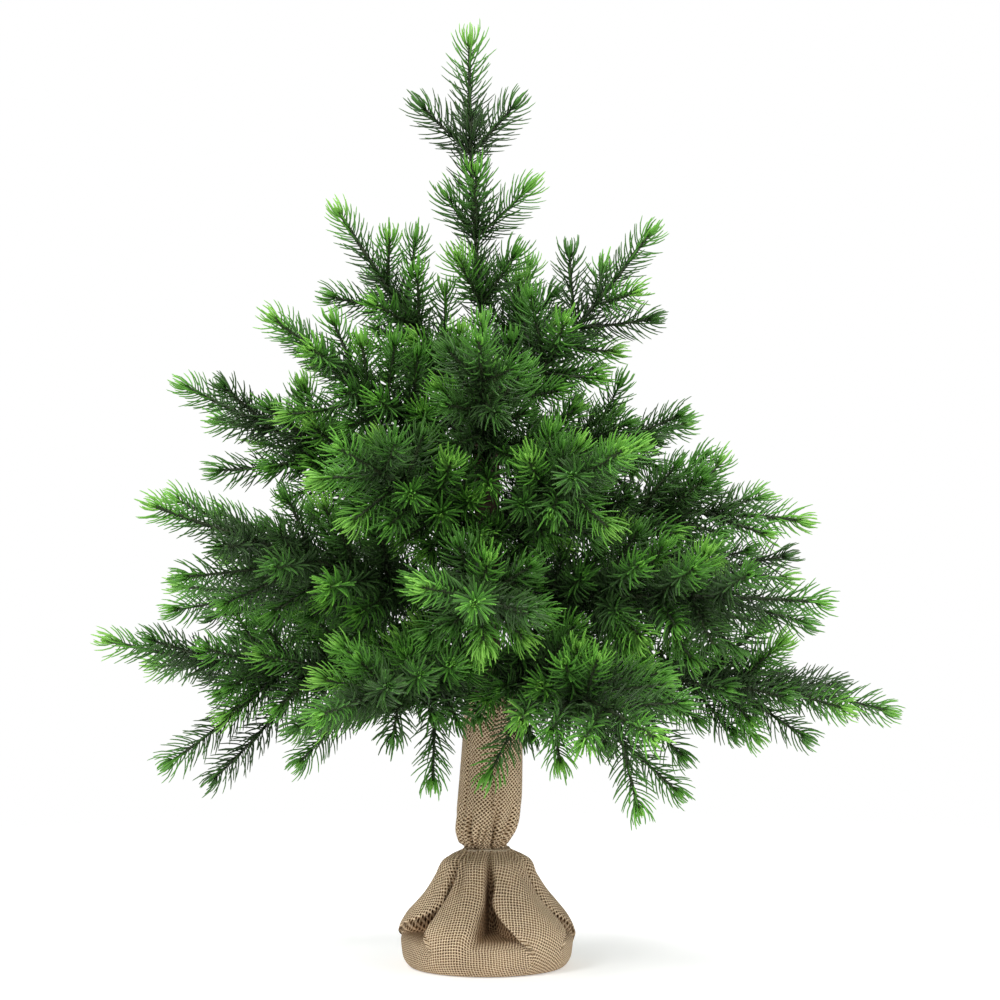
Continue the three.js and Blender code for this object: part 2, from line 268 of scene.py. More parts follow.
def needle_material():
    """Moulded needles: u runs from old, dark needles to fresh ones, v along each needle."""
    n = Nodes("needles")
    uv = n.add("ShaderNodeSeparateXYZ")
    n.link(n.add("ShaderNodeUVMap", uv_map="OFBake").outputs["UV"], uv.inputs[0])
    age, along = uv.outputs["X"], uv.outputs["Y"]
    color = n.ramp(age, [
        (0.0, (0.014, 0.034, 0.010)), (0.3, (0.037, 0.092, 0.023)),
        (0.6, (0.074, 0.240, 0.032)), (0.82, (0.135, 0.405, 0.048)),
        (1.0, (0.250, 0.560, 0.095)),
    ])
    # Painted shade and light: each needle is drawn darker at its base, by the stem, and brighter
    # than its own green towards its tip.
    light = n.ramp(along, [
        (0.0, (0.45, 0.40, 0.32)), (0.3, (0.85, 0.88, 0.80)), (1.0, (1.25, 1.18, 1.0)),
    ])
    return n.finish(n.multiply(color, light), 0.45, Specular_IOR_Level=0.42)


def stem_material():
    """Stem tape and moulded pegs, dark green with a brown tinge."""
    n = Nodes("stems")
    color = n.ramp(n.noise(350), [(0.3, (0.008, 0.020, 0.006)), (0.7, (0.040, 0.060, 0.018))])
    n.bump(n.noise(900), 0.4 * MM)
    return n.finish(color, 0.6)


def trunk_material():
    n = Nodes("trunk_tape")
    color = n.ramp(n.noise(120), [(0.3, (0.050, 0.030, 0.015)), (0.7, (0.130, 0.085, 0.045))])
    n.bump(n.noise(500), 0.5 * MM)
    return n.finish(color, 0.55)


def weave_material():
    """Plain-woven jute: pale threads over and under each other, with dark open holes; the holes,
    the threads' sides and their dips are darkened as painted shade.
    Deep inside the folds the cloth is drawn browner and darker, as painted shade."""
    n = Nodes("burlap")
    uv = n.add("ShaderNodeSeparateXYZ")
    n.link(n.add("ShaderNodeUVMap", uv_map="weave").outputs["UV"], uv.inputs[0])
    # The threads wander a little, up to a quarter of their spacing.
    shift = n.math("MULTIPLY_ADD", n.noise(150, 2), 0.5, -0.25)
    warp = n.math("ADD", uv.outputs["X"], shift)
    weft = n.math("SUBTRACT", uv.outputs["Y"], shift)

    def wave(value, rate):
        return n.math("COSINE", n.math("MULTIPLY", value, rate * math.pi))

    def thread(value, width):
        """One where a thread lies, zero in the gap between threads; width varies with noise."""
        edge = n.math("ADD", wave(value, 2), width)
        node = n.add("ShaderNodeMapRange", interpolation_type="SMOOTHSTEP")
        node.inputs["From Min"].default_value = -0.45
        node.inputs["From Max"].default_value = 0.15
        n.link(edge, node.inputs["Value"])
        return node.outputs["Result"]

    slub = n.math("MULTIPLY_ADD", n.noise(260, 2), 0.9, -0.42)
    over = n.math("MULTIPLY", wave(warp, 1), wave(weft, 1))
    thread_a, thread_b = thread(warp, slub), thread(weft, slub)
    rounding = 0.30  # how far a thread's sides fall away
    sinking = 0.15  # how far a thread dips where it goes under

    def thread_height(mask, place, lift):
        rounded = n.math("MULTIPLY_ADD", wave(place, 2), rounding, 1 - rounding)
        crossed = n.math("MULTIPLY_ADD", over, lift, 1 - sinking)
        return n.math("MULTIPLY", n.math("MULTIPLY", mask, rounded), crossed)

    height = n.math("MAXIMUM", thread_height(thread_a, warp, sinking),
                    thread_height(thread_b, weft, -sinking))

    def strands(across, along):
        """Fibres that run along a thread."""
        place = n.add("ShaderNodeCombineXYZ")
        n.link(n.math("MULTIPLY", across, 9.0), place.inputs["X"])
        n.link(n.math("MULTIPLY_ADD", across, 1.5, n.math("MULTIPLY", along, 1.6)),
               place.inputs["Y"])
        return n.noise(1.0, 4, place.outputs[0])

    upper = n.math("GREATER_THAN", over, 0.0)
    fibre = n.math("ADD", n.math("MULTIPLY", strands(warp, weft), upper),
                   n.math("MULTIPLY", strands(weft, warp), n.math("SUBTRACT", 1.0, upper)))
    fuzz = n.math("MULTIPLY_ADD", n.noise(70), 1.1, -0.36)
    # The colour mixes the fibres' own streaks with painted shade: where a thread's sides fall away,
    # where it dips under, and in the open holes, the cloth is drawn darker.
    streaks_and_shade = n.math("MULTIPLY_ADD", n.math("SUBTRACT", fibre, 0.5), 1.1, height)
    streaks_and_shade = n.math("MAXIMUM", streaks_and_shade, fuzz)
    color = n.ramp(streaks_and_shade, [
        (0.08, (0.030, 0.013, 0.004)), (0.34, (0.158, 0.090, 0.040)),
        (0.66, (0.395, 0.265, 0.148)), (0.98, (0.930, 0.775, 0.570)),
    ])
    stain = n.ramp(n.noise(24), [(0.3, (0.84, 0.81, 0.77)), (0.7, (1.08, 1.06, 1.03))])
    # Painted shade: the cloth is drawn browner and darker the deeper it lies below the folds'
    # crown, read from the recess UV layer.
    inside = n.add("ShaderNodeSeparateXYZ")
    n.link(n.add("ShaderNodeUVMap", uv_map="recess").outputs["UV"], inside.inputs[0])
    recess_shade = n.ramp(inside.outputs["X"], [(0.0, (1.0, 1.0, 1.0)), (1.0, (0.50, 0.42, 0.36))])
    color = n.multiply(color, recess_shade)
    n.bump(n.math("MULTIPLY_ADD", fibre, 0.35, height), 1.1 * MM)
    return n.finish(n.multiply(color, stain), 0.92, Specular_IOR_Level=0.1)


def plain_material(name, dark, light, scale, roughness, **sockets):
    """A material with mottled colour and a fine grain."""
    n = Nodes(name)
    color = n.ramp(n.noise(scale), [(0.3, dark), (0.7, light)])
    n.bump(n.noise(scale * 6), 0.3 * MM)
    return n.finish(color, roughness, **sockets)


# Stems and sprigs --------------------------------------------------------------------------

def heading(azimuth, slope):
    return np.array([
        math.cos(azimuth) * math.cos(slope), math.sin(azimuth) * math.cos(slope),
        math.sin(slope)])


class Stem:
    """A branch's main stem, an arc in a vertical plane."""

    def __init__(self, root, azimuth, rise, bend, length):
        self.root = np.array(root)
        self.azimuth = azimuth
        self.rise = math.radians(rise)
        self.bend = math.radians(bend)
        self.length = length * MM

    def at(self, share):
        """The point, and the directions along, across and up, at a share of the length."""
        half = self.bend * share / 2
        chord = self.length * share * (math.sin(half) / half if half else 1)
        along = heading(self.azimuth, self.rise + 2 * half)
        across = np.array([-math.sin(self.azimuth), math.cos(self.azimuth), 0])
        point = self.root + heading(self.azimuth, self.rise + half) * chord
        return point, along, across, np.cross(along, across)

    def path(self, start=0.0):
        """Points along the stem, which stops short of the length that its needles reach."""
        end = 1 - OVERHANG * MM / self.length
        shares = [start + (end - start) * i / STEM_STEPS for i in range(STEM_STEPS + 1)]
        return np.array([self.at(share)[0] for share in shares])

    def twig(self, fork, clock, length, curve=TWIG_CURVE, splay=SPLAY):
        """The path of a side twig at a clock angle round the stem."""
        point, along, across, up = self.at(fork)
        side = across * math.cos(clock) + up * math.sin(clock)
        direction = along * math.cos(splay) + side * math.sin(splay)
        share = np.linspace(0, 1, TWIG_STEPS + 1)[:, None] * (1 - OVERHANG / length)
        sweep = along * (share * (share - 1)) * curve
        return point + (direction * share + sweep) * length * MM


def twigs_of(stem, roll, pairs, length):
    """The paths of a branch's twigs: side pairs and a crest twig."""
    paths = []
    for pair in range(pairs):
        step = pair / (pairs - 1) if pairs > 1 else 0
        fork = FIRST_FORK + (LAST_FORK - FIRST_FORK) * step if pairs > 1 else SINGLE_FORK
        for turn in (0, 180):
            clock = math.radians(roll + turn)
            paths.append(stem.twig(fork, clock, length * (SIDE_TWIG - SIDE_TAPER * step)))
    if pairs > 1:
        clock = math.radians(roll + (270 if stem.root[2] < LOW_TIER else 90))
        paths.append(stem.twig(CREST_FORK, clock, length * CREST_TWIG))
    return paths


def needles_on(path, fresh, grown, rng):
    """One sprig's needles: bases, directions along and outwards, leans, lengths, widths, ages."""
    run = np.concatenate([[0], np.cumsum(np.linalg.norm(np.diff(path, axis=0), axis=1))])
    total = run[-1]
    count = int(total / MM * NEEDLES_PER_MM)
    number = np.arange(count)
    at = (number + rng.uniform(-PLACE_JITTER, PLACE_JITTER, count)) / count * (total - END_GAP)
    at = np.clip(at, 0, total)
    close = np.clip(1 - (total - at) / TIP_ZONE, 0, 1)
    size = rng.uniform(*NEEDLE_SIZES, count)
    size = size * np.clip(FIRST_SIZE + at / GROWTH, FIRST_SIZE, 1)
    turn = number * GOLDEN_ANGLE + rng.uniform(-TURN_JITTER, TURN_JITTER, count)

    at = np.concatenate([at, np.full(CLASP_NEEDLES, total - CLASP_BACK),
                         np.full(BUD_NEEDLES, total - BUD_BACK)])
    turn = np.concatenate([turn, np.arange(CLASP_NEEDLES) * 2 * math.pi / CLASP_NEEDLES,
                           np.arange(BUD_NEEDLES) * GOLDEN_ANGLE])
    size = np.concatenate([size, rng.uniform(*CLASP_SIZES, CLASP_NEEDLES),
                           np.linspace(*BUD_SIZES, BUD_NEEDLES)])
    leans = [np.concatenate([body + (clasp - body) * close,
                             np.full(CLASP_NEEDLES, clasp - CLASP_MORE),
                             np.linspace(*bud, BUD_NEEDLES)])
             for body, clasp, bud in zip(NEEDLE_LEAN, CLASP, BUD_LEANS)]

    count = len(at)
    base, ahead, behind = (
        np.stack([np.interp(place, run, coordinate) for coordinate in path.T], 1)
        for place in (at, np.minimum(at + MM, total), np.maximum(at - MM, 0)))
    along = unit(ahead - behind)
    first, second = square_to(along)
    out = first * np.cos(turn)[:, None] + second * np.sin(turn)[:, None]
    lean = np.radians(np.stack(leans, 1) + rng.normal(0, LEAN_JITTER, (count, 1)))
    age = fresh * np.clip(1 - (total - at) / FRESH_ZONE, 0, 1) ** FRESH_FADE
    age = OLD + FRESH * fresh + FRESH_END * age + rng.normal(0, AGE_JITTER, count)
    age = np.clip(age, *AGE_LIMITS)
    age[-BUD_NEEDLES:] = np.clip(age[-BUD_NEEDLES:] + BUD_AGE, 0, BUD_AGE_LIMIT)
    width = np.full(count, NEEDLE_HALF_WIDTH)
    width[-BUD_NEEDLES:] *= BUD_WIDTH
    return base, along, out, lean, size * grown * NEEDLE_LENGTH, width, age


# A needle's rings, as shares of its length, and their widths; the last ring is the point.
RING_SHARES = (0.0, 0.32, 0.66, 0.93, 1.0)
RING_WIDTHS = (0.85, 1.0, 0.94, 0.6)
POINT_RING = len(RING_WIDTHS)
NEEDLE_POINTS = 3 * POINT_RING + 1
CORNERS = np.radians([90, 210, 330])
ROOT_DEPTH = 0.4  # where a needle starts, as a share of the stem's radius
# A needle's place in its material: u is its age, a little apart at each corner, and v runs
# from its base to its tip.
CORNER_AGES = 0.006
TIP_FROM, TIP_SPAN = 0.02, 0.96


def needle_mesh(name, sprigs, rng):
    """One mesh of curved, tapering three-sided needles for all the sprigs of a branch."""
    parts = [needles_on(path, fresh, grown, rng) for path, fresh, grown in sprigs]
    base, along, out, lean, size, half, age = (np.concatenate(group) for group in zip(*parts))
    count = len(base)
    side = np.cross(along, out)
    skew = np.radians(rng.normal(0, SKEW_JITTER, count))[:, None]
    out = out * np.cos(skew) + side * np.sin(skew)
    side = np.cross(along, out)

    def direction(share):
        """Which way each needle points at a share of its length."""
        angle = (lean[:, 0] + (lean[:, 1] - lean[:, 0]) * share)[:, None]
        return along * np.cos(angle) + out * np.sin(angle)

    point = base + out * STEM_RADIUS * ROOT_DEPTH
    points = np.zeros((count, NEEDLE_POINTS, 3))
    uv = np.zeros((count, NEEDLE_POINTS, 2))
    before = 0.0
    for ring, share in enumerate(RING_SHARES):
        point = point + direction((before + share) / 2) * (size * (share - before))[:, None]
        before = share
        height = np.full(count, TIP_FROM + TIP_SPAN * share)
        if ring == POINT_RING:
            points[:, -1] = point
            uv[:, -1] = np.stack([age, height], 1)
            break
        rise = np.cross(direction(share), side)
        width = (half * RING_WIDTHS[ring])[:, None]
        for k, corner in enumerate(CORNERS):
            offset = side * math.cos(corner) + rise * (NEEDLE_DEPTH * math.sin(corner))
            points[:, ring * 3 + k] = point + offset * width
            uv[:, ring * 3 + k] = np.stack([age + (k - 1) * CORNER_AGES, height], 1)
    faces = [(0, 2, 1)]
    for a, b, c, d in ring_faces(POINT_RING, 3):
        faces += [(a, b, c), (a, c, d)]
    last = 3 * (POINT_RING - 1)
    faces += [(last + k, last + (k + 1) % 3, NEEDLE_POINTS - 1) for k in range(3)]
    faces = np.array(faces)[None] + (np.arange(count) * NEEDLE_POINTS)[:, None, None]
    piece = new_mesh(name, points, faces.reshape(-1, 3))
    set_uv(piece, "OFBake", uv.reshape(-1, 2))
    return piece


def tube(path, radii, sides=8):
    """Points and faces of a closed tube along a path, with a radius at each point."""
    path = np.asarray(path, float)
    first, second = square_to(unit(np.gradient(path, axis=0)))
    angles = (np.arange(sides) / sides * 2 * math.pi)[None, :, None]
    ring = first[:, None] * np.cos(angles) + second[:, None] * np.sin(angles)
    points = (path[:, None] + ring * np.asarray(radii)[:, None, None]).reshape(-1, 3)
    return points, ring_faces(len(path), sides) + end_faces(len(path), sides)


def joined(tubes):
    """Several tubes as one list of points and one of faces."""
    points, faces, start = [], [], 0
    for tube_points, tube_faces in tubes:
        points.append(tube_points)
        faces += [tuple(start + i for i in face) for face in tube_faces]
        start += len(tube_points)
    return np.concatenate(points), faces


def stem_mesh(name, stem_path, twig_paths, rng):
    """The knobbly stem of a branch and its twigs."""
    limbs = [(stem_path, STEM_RADIUS, TWIG_RADIUS)]
    limbs += [(path, TWIG_RADIUS, TWIG_RADIUS * THIN_END) for path in twig_paths]
    tubes = []
    for path, thick, thin in limbs:
        radii = np.linspace(thick, thin, len(path)) * rng.uniform(*KNOBS, len(path))
        tubes.append(tube(path, radii))
    points, faces = joined(tubes)
    return new_mesh(name, points, faces)


def make_foliage():
    """Needles and stems of every branch and of the leader, each on its own body."""
    green, wood = needle_material(), stem_material()
    joints = {joint["child"]: joint for joint in frame["joints"]}
    stems, twigs = {}, {}
    for number, (rise, bend, length, roll, pairs) in enumerate(BRANCHES, 1):
        body = f"branch_{number:02d}"
        axis = joints[body]["axis"]
        azimuth = math.atan2(axis[0], -axis[1])
        stems[body] = Stem(joints[body]["pos_m"], azimuth, rise, bend, length)
        twigs[body] = twigs_of(stems[body], roll, pairs, length)
    for number, fork, clock, length, splay in EXTRA_TWIGS:
        body = f"branch_{number:02d}"
        twigs[body].append(
            stems[body].twig(fork, math.radians(clock), length, splay=math.radians(splay)))
    leader = Stem(joints["leader"]["pos_m"], LEADER_AZIMUTH, *LEADER)
    leader_twigs = [
        leader.twig(fork, math.radians(clock), length, LEADER_TWIG_CURVE, math.radians(splay))
        for fork, whorl in WHORLS for clock, length, splay in whorl]
    fill_out(stems, twigs, leader_twigs + [leader.path()])
    for body, stem in stems.items():
        add_branch(body, stem, twigs[body], BRANCH_BARE, green, wood)
    add_branch("leader", leader, leader_twigs, LEADER_BARE, green, wood)


def fill_out(stems, twigs, others):
    """Adds short sprigs all round the branches, each where the foliage is thinnest."""
    rng = np.random.default_rng(11)
    taken = [path[::3] for path in others]
    for body, stem in stems.items():
        taken += [path[4::3] for path in twigs[body]] + [stem.path(0.25)[::3]]
    taken = np.concatenate(taken)
    want = {body: int(stem.length / MM / FILLER_SPACING) for body, stem in stems.items()}
    for turn in range(max(want.values())):
        for body, stem in stems.items():
            if turn >= want[body]:
                continue
            best, room = None, -1
            for _ in range(FILLER_TRIES):
                fork = rng.uniform(*FILLER_FORKS)
                # Longer on long branches, and shorter towards the tip.
                length = rng.uniform(*FILLER_LENGTHS)
                length = length * (0.7 + 1.2 * stem.length) * (1.05 - 0.45 * fork)
                clock = rng.uniform(0, 2 * math.pi)
                splay = math.radians(rng.uniform(*FILLER_SPLAYS))
                path = stem.twig(fork, clock, length, splay=splay)
                if hides_sleeve(path):
                    continue
                gaps = np.linalg.norm(path[6::2, None] - taken[None], axis=2).min(1)
                score = gaps.mean() + 0.5 * gaps.min()
                if score > room:
                    best, room = path, score
            if best is not None:
                twigs[body].append(best)
                taken = np.concatenate([taken, best[3::3]])


def hides_sleeve(path):
    """Whether a sprig would end low, or across the cloth sleeve, which is left in view."""
    x, _, z = path[-1]
    return z < FILLER_FLOOR or (z < SLEEVE_TOP and SLEEVE_VIEW[0] < x < SLEEVE_VIEW[1])


def add_branch(body, stem, twigs, bare, green, wood):
    rng = np.random.default_rng(sum(map(ord, body)) * 7 + len(twigs))
    grown = LEADER_GROWN if body == "leader" else 1.0
    sprigs = [(stem.path(bare), rng.uniform(*STEM_FRESH), grown)]
    sprigs += [(path, rng.uniform(*TWIG_FRESH), grown) for path in twigs]
    needles = needle_mesh(f"{body}_needles", sprigs, rng)
    needles.data.materials.append(green)
    stems = stem_mesh(f"{body}_stem", stem.path(-TAIL * MM / stem.length), twigs, rng)
    stems.data.materials.append(wood)
    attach(needles, body)
    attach(stems, body)
    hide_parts(f"{body}_sprigs")
    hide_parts(f"{body}_wire")


# Trunk and base ----------------------------------------------------------------------------

TAPE_PITCH, TAPE_LAP, TAPE_LUMPS = 9 * MM, 0.55 * MM, 0.35 * MM
TAPE_INSET = 0.7 * MM  # how far inside the CAD's outline the tape's inner turns lie
TAPE_DOME = 4 * MM  # the height over which the top rounds off
TAPE_ROW, TAPE_SIDES = 0.75 * MM, 40


def make_trunk():
    """The taped trunk: a rod with wire tails, wound with overlapping turns of tape."""
    low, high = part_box("trunk_wrap")
    rows = int((high.z - low.z) / TAPE_ROW)
    points = []
    for row in range(rows + 1):
        z = low.z + (high.z - low.z) * row / rows
        narrowing = min(1.0, math.sqrt(max(0.02, (high.z - z) / TAPE_DOME)))
        for k in range(TAPE_SIDES):
            angle = k / TAPE_SIDES * 2 * math.pi
            turn = (z / TAPE_PITCH + angle / (2 * math.pi)) % 1
            lumps = TAPE_LUMPS * math.sin(5 * angle + z * 40) * math.sin(3 * angle + 1)
            r = (high.x - TAPE_INSET + TAPE_LAP * (1 - turn) + lumps) * narrowing
            points.append((r * math.cos(angle), r * math.sin(angle), z))
    faces = ring_faces(rows + 1, TAPE_SIDES) + end_faces(rows + 1, TAPE_SIDES)
    trunk = new_mesh("trunk_tape", points, faces)
    trunk.data.materials.append(trunk_material())
    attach(trunk, "base")
    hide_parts("trunk_wrap")


# The wrapped cloth follows two outlines from its tucked edge to its top: over a fold's crown
# and down an opening between folds. Radius and height in millimetres. A level on the cloth
# counts the outlines' points, from 0 at the tucked edge.
CROWN = [
    (47.6, 1.9), (50.2, 0.6), (54.8, 6.4), (57.2, 15.6), (56.8, 24.5), (53.2, 32), (46.5, 40),
    (39.4, 48.5), (33.6, 58), (27.6, 68.5), (13.8, 75.8), (16.4, 80), (19.8, 88), (20.6, 101),
    (19.8, 128), (18.8, 152), (18, 174),
]
VALLEY = [
    (47.6, 1.9), (50.2, 0.6), (54.0, 6.4), (55.3, 13.6), (55.0, 19.2), (51.0, 23.8),
    (38, 26.0), (24.5, 31.5), (16.8, 49), (13.5, 64), (11.8, 75.6), (13.4, 81), (15.6, 88),
    (17, 101), (17.4, 128), (17, 152), (16.6, 174),
]
TIE_ROW = 10  # the level where the cloth is tied
RIM_ROW = 4  # the level of the weight's rim
SLEEVE_RADIUS = 20
SLEEVE_LEAN = (-2.2, 3.2)  # how far the sleeve stands to the right, low down and at its top
LAP_AZIMUTH, LAP_HEIGHT = 279, 1.5  # where and how far the sleeve's edge laps over itself
# How far the threads are turned, in degrees: on the fold beyond each opening, on the floor of
# an opening, and on the sleeve.
FOLD_ANGLES = [38, 52, 8, 61, 47]
FLOOR_ANGLE = 6
SLEEVE_ANGLE = 41
# Openings: azimuth and half width at the rim, azimuth and level of the apex, and how far the
# folds on its two sides hang over it.
OPENINGS = [
    (50, 15, 44, 7.0, 0.4, 0.9), (114, 14, 116, 7.2, 0.9, 0.3), (192, 36, 221, 6.9, 0.8, 1.0),
    (279, 23, 276, 7.2, 0.0, 1.0), (348, 20, 342, 6.9, 1.0, 0.6),
]
LEAST_OPENING = 2.0  # half width of the crease above an opening's apex, in degrees
CLIMB_FROM, TAPER = 2.2, 0.75  # the level where an opening begins to narrow, and how it does
HEM_WIDTH = 0.7  # an opening's width at the tucked edge, as a share
HOOK_FROM, HOOK_RISE = 2.3, 1.8  # the level where a fold's edge begins to hang over
CREASE_DEPTH = 0.5  # how deep the crease above an opening is, as a share
EDGE_WIDTH = 9  # degrees of cloth in a fold's edge
PILLOW, PILLOW_WIDTH = 0.16, 26  # how far a fold sinks beside its edges, and over how many degrees
CLEAR_OVERHANG = 0.5  # above this, the threads of a fold and of the floor are drawn apart
# The section of an overhanging edge, from the opening's floor, back under the fold, out to the
# lip and over to the crown: degrees from the opening's side, and share of the way up.
LIP = [
    (0, 0), (2.6, 0.02), (4.2, 0.16), (3.8, 0.42), (0.8, 0.66), (-2.2, 0.74), (-3.4, 0.84),
    (-2.0, 0.94), (2.0, 0.99), (5.8, 1), (9, 1),
]
THREAD_PITCH = 1.85 * MM
TRUE_ARC = 0.55  # how far the threads follow the cloth into its folds, rather than past them
LARGEST_STEP = 3  # threads between neighbouring columns, past which there is a seam
RECESS_FROM, RECESS_DEPTH = 3.5, 8  # how deep below a fold's crown the painted shade of the recesses begins and grows full, in millimetres
CLOTH_THICKNESS = 0.9 * MM
CLOTH_SEED = 5
# The sheet's columns at each opening: on each edge, on its floor and on the fold beyond it.
EDGE_COLUMNS, FLOOR_COLUMNS, FOLD_COLUMNS = 20, 16, 40
COLUMNS = 2 * EDGE_COLUMNS + FLOOR_COLUMNS + FOLD_COLUMNS
AROUND, ALONG = COLUMNS * len(OPENINGS), 102


def smooth(x):
    """A soft step from 0 to 1."""
    x = np.clip(x, 0, 1)
    return x * x * (3 - 2 * x)


def around_from(degrees, centre):
    """Degrees from a centre, the short way round."""
    return (degrees - centre + 180) % 360 - 180


def outline(points, shares):
    """A smooth curve through the outline's points, at shares of its point count."""
    points = np.asarray(points, float)
    padded = np.vstack([2 * points[0] - points[1], points, 2 * points[-1] - points[-2]])
    at = shares * (len(points) - 1)
    i = np.minimum(at.astype(int), len(points) - 2)
    t = (at - i)[:, None]
    p0, p1, p2, p3 = (padded[i + k] for k in range(4))
    return 0.5 * (2 * p1 + (p2 - p0) * t + (2 * p0 - 5 * p1 + 4 * p2 - p3) * t ** 2
                  + (3 * p1 - p0 - 3 * p2 + p3) * t ** 3)


def cloth_columns(level):
    """The azimuth of every point of the cloth in degrees, and its fullness: 0 on an opening's
    floor and 1 on a fold's crown. The columns follow the openings' edges."""
    sides = []
    for rim_azimuth, half, apex_azimuth, apex, _, _ in OPENINGS:
        climb = np.clip((level - CLIMB_FROM) / (apex - CLIMB_FROM), 0, 1)
        centre = rim_azimuth + (apex_azimuth - rim_azimuth) * climb
        width = half * (1 - climb) ** TAPER
        width = width * (HEM_WIDTH + (1 - HEM_WIDTH) * smooth((level - 0.5) / 2.5))
        sides.append((centre, np.hypot(width, LEAST_OPENING)))
    edge = np.arange(EDGE_COLUMNS)[None, :] / EDGE_COLUMNS
    floor = np.arange(FLOOR_COLUMNS)[None, :] / FLOOR_COLUMNS * 2 - 1
    fold = np.arange(FOLD_COLUMNS)[None, :] / FOLD_COLUMNS
    azimuths, fullness = [], []
    for i, (centre, width) in enumerate(sides):
        apex, left, right = OPENINGS[i][3:]
        # The overhang begins above the tucked edge and dies away past the apex.
        hooked = smooth((level - HOOK_FROM) / HOOK_RISE)
        hooked = hooked * (1 - smooth((level - apex + 0.6) / 2.4))
        onward, beyond = sides[(i + 1) % len(sides)]
        onward = onward + 360 * (i + 1 == len(sides))
        first = centre + width + EDGE_WIDTH
        last = onward - beyond - EDGE_WIDTH
        near, near_up = fold_edge(1 - edge, hooked * left, left)
        far, far_up = fold_edge(edge, hooked * right, right)
        azimuths += [centre - width - near, centre + width * floor, centre + width + far,
                     first + (last - first) * fold]
        # An opening is flat at the tucked edge, deep up to its apex, and a crease above.
        depth = 1 - (1 - CREASE_DEPTH) * smooth((level - apex + 0.3) / 1.6)
        depth = depth * smooth((level - 1.1) / 1.4)
        fullness += [1 - (1 - near_up) * depth, 1 - depth + 0 * floor, 1 - (1 - far_up) * depth,
                     np.ones((ALONG, FOLD_COLUMNS))]
    azimuths, fullness = np.hstack(azimuths), np.hstack(fullness)
    # The folds sink towards the openings, from above the rim to below the neck.
    for centre, width in sides:
        beside = np.abs(around_from(azimuths, centre)) - width
        pillow = PILLOW * smooth(1 - beside / PILLOW_WIDTH) * smooth((level - 3.6) / 1.5)
        fullness = fullness - pillow * (1 - smooth((level - 8.0) / 1.5))
    return azimuths, fullness


def fold_edge(edge, hooked, crisp):
    """Degrees out from an opening's side, and the share of the way up, across a fold's edge."""
    shares = np.linspace(0, 1, 61)
    lip = outline(LIP, shares)
    out, up = (np.interp(edge, shares, lip[:, k]) for k in (0, 1))
    soft = smooth(edge)
    plain = soft + (np.sqrt(np.clip(1 - (1 - edge) ** 2, 0, 1)) - soft) * crisp
    return edge * EDGE_WIDTH + (out - edge * EDGE_WIDTH) * hooked, plain + (up - plain) * hooked


def make_burlap():
    """The burlap: one sheet tucked under the weight, gathered at the neck and up the trunk."""
    shares = np.linspace(0, 1, ALONG)
    crown, valley = outline(CROWN, shares), outline(VALLEY, shares)
    level = (shares * (len(CROWN) - 1))[:, None]
    degrees, fullness = cloth_columns(level)
    radius = valley[:, :1] + (crown[:, :1] - valley[:, :1]) * fullness
    height = valley[:, 1:] + (crown[:, 1:] - valley[:, 1:]) * fullness
    radius, height = sleeve_folds(radius, height, level, degrees)
    turn = np.radians(degrees)
    lean = SLEEVE_LEAN[0] + (SLEEVE_LEAN[1] - SLEEVE_LEAN[0]) * smooth((level - TIE_ROW) / 5)
    lean = lean * smooth((level - TIE_ROW + 0.4) / 1.4)
    points = np.stack([radius * np.cos(turn) + lean, radius * np.sin(turn), height], -1) * MM
    burlap = new_mesh("burlap_cloth", points, ring_faces(ALONG, AROUND))
    weave_uv(burlap, points, turn, crown)
    # Painted shade for the recesses: how far each point lies below the folds' crown, stored for the
    # material.
    below = np.hypot(crown[:, :1] - radius, crown[:, 1:] - height)
    recess = smooth((below - RECESS_FROM) / RECESS_DEPTH)
    set_uv(burlap, "recess", np.stack([recess, recess], -1).reshape(-1, 2))
    solid = burlap.modifiers.new("thickness", "SOLIDIFY")
    solid.thickness = CLOTH_THICKNESS
    solid.offset = -1
    apply_modifiers(burlap)
    burlap.data.materials.append(weave_material())
    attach(burlap, "base")
    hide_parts("burlap_wrap")


# Creases that run up the sleeve from the tie: azimuth, depth, half width in degrees, and the
# level where each has faded out.
CREASES = [
    (238, 6.6, 5, 13.5), (254, 2.4, 3, 12.8), (266, 3.0, 3, 13.2), (288, 5.6, 5, 14.2),
    (303, 2.6, 4, 13.0), (320, 4.4, 5, 13.8), (343, 4.0, 7, 13.0), (8, 3.2, 6, 13.4),
    (41, 4.0, 7, 13.0), (74, 3.4, 6, 13.9), (103, 4.0, 7, 12.7), (139, 3.6, 6, 13.5),
    (171, 4.0, 7, 13.0), (203, 3.4, 6, 13.6),
]
CREASE_FADE = 11.9  # the level where a crease begins to fade
CREASE_SWAY = 2.5  # degrees that a crease wanders
CREASE_BELOW = 0.45  # a crease's depth under the tie, as a share
GATHER_HEIGHT = 1.5  # levels over which the gathers at the tie die away
# Waves round the cloth: how many, and how high in millimetres. The pleats are at the tie, and
# the frill is along the top edge.
PLEATS = ((19, 0.54), (29, 0.36), (12, 0.36))
UNEVENNESS = ((3, 0.5), (5, 0.45), (9, 0.3), (14, 0.2))
FRILL = ((7, 1.2, 1), (13, 0.8, 0))
PHASES = (0, 6.28)
# Where the sleeve stands fuller: azimuth and half width in degrees, level, and how far.
BULGE_AZIMUTH, BULGE_WIDTH, BULGE_LEVEL, BULGE = 222, 34, 12.0, 2.0


